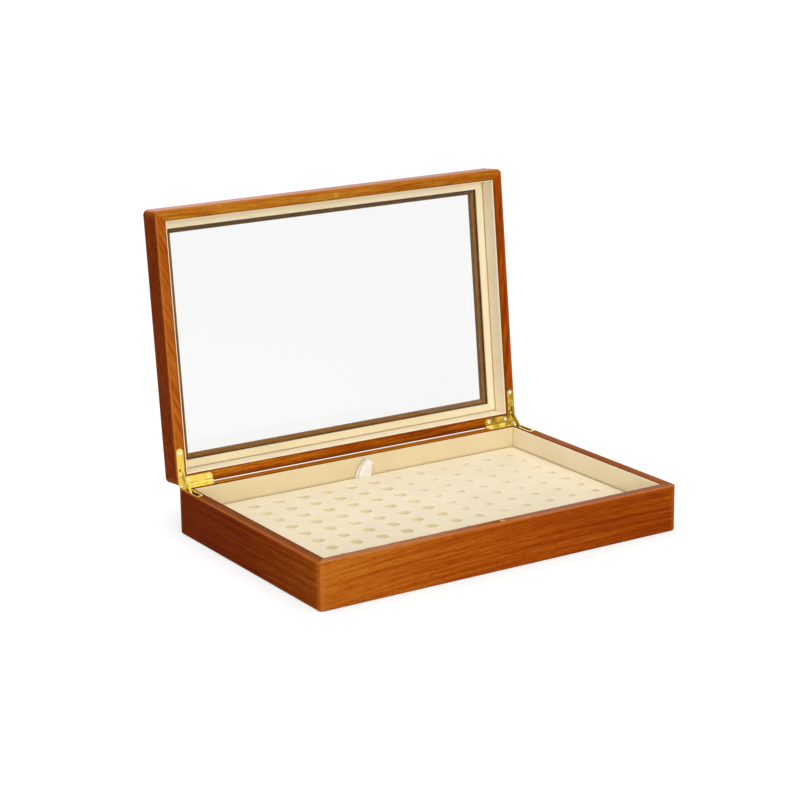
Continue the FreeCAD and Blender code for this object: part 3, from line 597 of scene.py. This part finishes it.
def edge_of_grid(mesh, low, high):
    """Carries the grid's outer edge over the pad's rounded edge, down its sides and under it."""
    grid_x, grid_y = (pitch * count / 2 for pitch, count in zip(HOLE_PITCH, HOLE_COUNT))
    outline = [v for v in mesh.verts if v.is_boundary]
    outline.sort(key=lambda v: math.atan2(v.co.y / grid_y, (v.co.x - HOLE_SHIFT) / grid_x))
    thickness = high.z - low.z
    steps = [(PAD_ROUND * PAD_COLLAR, 0.0), *rounded_edge(PAD_ROUND)]
    steps += [(0.0, thickness / 2), (0.0, thickness)]
    loops = [outline]
    for inset, depth in steps:
        scale_x = (high.x - inset) / grid_x
        scale_y = (high.y - inset) / grid_y
        ring = [((v.co.x - HOLE_SHIFT) * scale_x, v.co.y * scale_y, high.z - depth) for v in outline]
        loops.append([mesh.verts.new(spot) for spot in ring])
    join_loops(mesh, loops)
    mesh.faces.new(loops[-1])


def soften_pad(mesh, low, high):
    """Gives the covered foam its faint unevenness, and a dent behind which the ribbon goes down."""
    for vertex in mesh.verts:
        x, y, z = vertex.co
        if z > low.z + 1:
            waves = [size * noise.noise(Vector((x * rate, y * rate, at))) for size, rate, at in PAD_WAVES]
            vertex.co.z += sum(waves) - PAD_SINK
        beside = max(0.0, 1 - ((x - RIBBON_SPLAY / 2) / DENT_HALF_WIDTH) ** 4)
        vertex.co.y -= DENT_DEPTH * beside * max(0.0, 1 - (high.y - y) / DENT_REACH)


def pad_mesh():
    low, high = (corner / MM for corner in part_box("insert_pad"))
    mesh = bmesh.new()
    columns, rows = HOLE_COUNT
    border = cell_border(*HOLE_PITCH)
    for column in range(columns):
        radius = (LARGE_HOLE if column < LARGE_COLUMNS else SMALL_HOLE) / 2
        middle_x = (column - (columns - 1) / 2) * HOLE_PITCH[0] + HOLE_SHIFT
        for row in range(rows):
            middle_y = (row - (rows - 1) / 2) * HOLE_PITCH[1]
            add_hole(mesh, border, (middle_x, middle_y), high.z, radius)
    bmesh.ops.remove_doubles(mesh, verts=mesh.verts[:], dist=0.01)
    edge_of_grid(mesh, low, high)
    soften_pad(mesh, low, high)
    bmesh.ops.recalc_face_normals(mesh, faces=mesh.faces[:])
    return mesh


# Ribbon: a loop of satin that stands up behind the pad and leans to the right. Sizes in millimetres

RIBBON_THICK = 0.45
RIBBON_WIDTH = 13.0
RIBBON_STEPS = 12
RIBBON_ACROSS = 10
RIBBON_INSET = 0.35
RIBBON_TAIL = 14.0
TAIL_STEP = 8
RIBBON_SPLAY = 2.8
TIP_SPLAY = 0.4
LAYER_GAP = 0.95
LAYER_GAPE = 0.9
TIP_DROP = 0.5
RIBBON_BOW = 1.6
TIP_TAPER = 0.5
TIP_CURL = 1.1
TIP_TILT = 7
FOLD = (0.2, 0.45, 0.15)


def ribbon_rows():
    """Middle, place and width of each row: up the rear layer, over the fold and down the front layer."""
    low, high = (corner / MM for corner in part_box("ribbon_pull"))
    rear = high.y - RIBBON_INSET
    front = rear - LAYER_GAP
    foot = low.z + RIBBON_TAIL
    up = [(0, rear, low.z + 0.4, 1), (0, rear, low.z + TAIL_STEP, 1)]
    down = [(RIBBON_SPLAY, front, low.z + 0.8, 1), (RIBBON_SPLAY, front, low.z + TAIL_STEP, 1)]
    for step in range(RIBBON_STEPS + 1):
        t = step / RIBBON_STEPS
        lean = 2.2 * t + 4.2 * t * t - 0.6 * math.sin(t * math.pi)
        splay = RIBBON_SPLAY * (1 - t) + TIP_SPLAY * t
        y = rear - RIBBON_BOW * math.sin(t * math.pi / 2)
        gape = LAYER_GAP + LAYER_GAPE * math.sin(t * math.pi) * (1 - t)
        z = foot + (high.z - foot) * t
        width = 1 - TIP_TAPER * t * t
        up.append((lean, y, z, width))
        down.append((lean + splay, y - gape, z - TIP_DROP * t, width))
    shift, reach, rise = FOLD
    return up + [(lean + shift, y - reach, high.z + rise, width)] + down[::-1]


def ribbon_mesh():
    mesh = bmesh.new()
    rows = []
    for middle, y, z, width in ribbon_rows():
        row = []
        for step in range(RIBBON_ACROSS + 1):
            s = step / RIBBON_ACROSS - 0.5
            curl = TIP_CURL * (1 - width) * (4 * s * s - 0.4)
            spot = (middle + s * RIBBON_WIDTH * width, y - curl, z - s * TIP_TILT * (1 - width))
            row.append(mesh.verts.new(spot))
        rows.append(row)
    for first, second in zip(rows, rows[1:]):
        for index in range(RIBBON_ACROSS):
            mesh.faces.new((first[index], first[index + 1], second[index + 1], second[index]))
    return mesh


# Floor, light and camera


def build_stage():
    """A wide sheet of paper, white to look at and darker for the light that it gives back."""
    look = Look("floor_paper", Roughness=0.9, Specular_IOR_Level=0.0)
    paths = look.add("LightPath").outputs
    paper = look.ramp(look.noise(look.place(), 3, 2), (0.3, PAPER[0]), (0.7, PAPER[1]))
    look.set(look.shader, {"Base Color": look.mix(paths["Is Diffuse Ray"], paper, PAPER_BOUNCE)})
    seen = look.larger(paths["Is Camera Ray"], paths["Is Transmission Ray"])
    seen = look.larger(seen, paths["Is Glossy Ray"])
    glow = look.add("Emission", Strength=look.times(seen, FLOOR_GLOW)).outputs[0]
    both = look.add("AddShader", _0=look.shader.outputs[0], _1=glow).outputs[0]
    look.set(look.output, {"Surface": both})
    bpy.ops.mesh.primitive_plane_add(size=FLOOR_SIZE, location=(0, 0, 0))
    floor = bpy.context.object
    floor.name = "floor"
    floor.data.materials.append(look.material)


def build_world():
    """White to look at, also in metal and glass, and a soft even light on the object."""
    world = bpy.data.worlds.new("studio")
    bpy.context.scene.world = world
    world.use_nodes = True
    nodes = world.node_tree.nodes
    links = world.node_tree.links
    nodes.clear()
    paths = nodes.new("ShaderNodeLightPath").outputs
    seen = paths["Is Camera Ray"]
    for kind in ("Is Glossy Ray", "Is Transmission Ray"):
        either = nodes.new("ShaderNodeMath")
        either.operation = "MAXIMUM"
        links.new(seen, either.inputs[0])
        links.new(paths[kind], either.inputs[1])
        seen = either.outputs[0]
    level = nodes.new("ShaderNodeMapRange")
    links.new(seen, level.inputs["Value"])
    level.inputs["To Min"].default_value = SKY_LIGHT
    background = nodes.new("ShaderNodeBackground")
    links.new(level.outputs[0], background.inputs["Strength"])
    links.new(background.outputs[0], nodes.new("ShaderNodeOutputWorld").inputs[0])


def add_lamp(name, azimuth, height, strength, spread):
    """A sun that shines from an azimuth, counted from the front to the right, and a height, in degrees."""
    lamp = bpy.data.lights.new(name, "SUN")
    lamp.energy = strength
    lamp.angle = math.radians(spread)
    item = bpy.data.objects.new(name, lamp)
    bpy.context.scene.collection.objects.link(item)
    turn = math.radians(azimuth)
    lift = math.radians(height)
    level = math.cos(lift)
    towards = Vector((math.sin(turn) * level, -math.cos(turn) * level, math.sin(lift)))
    item.rotation_mode = "QUATERNION"
    item.rotation_quaternion = towards.to_track_quat("Z", "Y")


def build_camera():
    data = bpy.data.cameras.new("camera")
    data.sensor_width = SENSOR
    data.lens = LENS
    data.clip_end = CAMERA_REACH
    camera = bpy.data.objects.new("camera", data)
    bpy.context.scene.collection.objects.link(camera)
    forward = Vector(CAMERA_FORWARD)
    right = forward.cross(Vector(CAMERA_UP)).normalized()
    turn = Matrix((right, right.cross(forward), -forward)).transposed()
    camera.matrix_world = Matrix.Translation(CAMERA_PLACE) @ turn.to_4x4()
    bpy.context.scene.camera = camera


build_camera()
build_stage()
build_world()
for settings in LAMPS:
    add_lamp(*settings)

dress_wood()
dress_linings()
dress_metal()
dress(clear_glass("float_glass"), "lid_glass")

pad = add_piece(pad_mesh(), "insert_pad_soft", suede("beige_suede"), "insert", "suede", "insert_pad")
ribbon = add_piece(ribbon_mesh(), "ribbon_loop", satin("white_satin"), "insert", "ribbon", "ribbon_pull")
ribbon.modifiers.new("thickness", "SOLIDIFY").thickness = RIBBON_THICK * MM

bpy.context.scene.view_settings.view_transform = "Standard"
